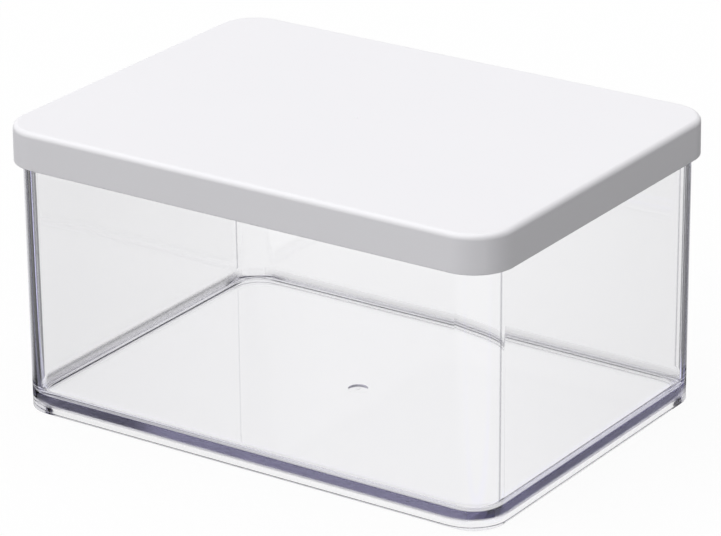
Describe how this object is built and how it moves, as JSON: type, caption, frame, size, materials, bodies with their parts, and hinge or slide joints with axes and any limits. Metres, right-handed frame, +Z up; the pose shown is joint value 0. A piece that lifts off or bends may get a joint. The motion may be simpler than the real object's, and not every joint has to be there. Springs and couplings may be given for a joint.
{
  "type": "rectangular food storage box with lid",
  "caption": "Clear rectangular storage box for dry food, with a white push-on lid that lifts straight off and a soft seal ring inside the rim.",
  "frame": {"origin": "centre of the base, on the surface that the box stands on", "axes": "+X along the long side, +Y along the short side, +Z up through the lid"},
  "size_m": [0.2, 0.1466, 0.1054],
  "materials": {
    "clear_plastic": "polished, clear with a faint violet-blue tint at the edges",
    "white_plastic": "satin, fine moulded grain",
    "seal_rubber": "soft, translucent white"
  },
  "bodies": {
    "tub": {"tub": "clear_plastic"},
    "lid": {"lid": "white_plastic", "lid_seal": "seal_rubber"}
  },
  "joints": [
    {"name": "lid_lift", "type": "slide", "parent": "tub", "child": "lid", "axis": [0, 0, 1], "range_m": [0, 0.06]}
  ]
}
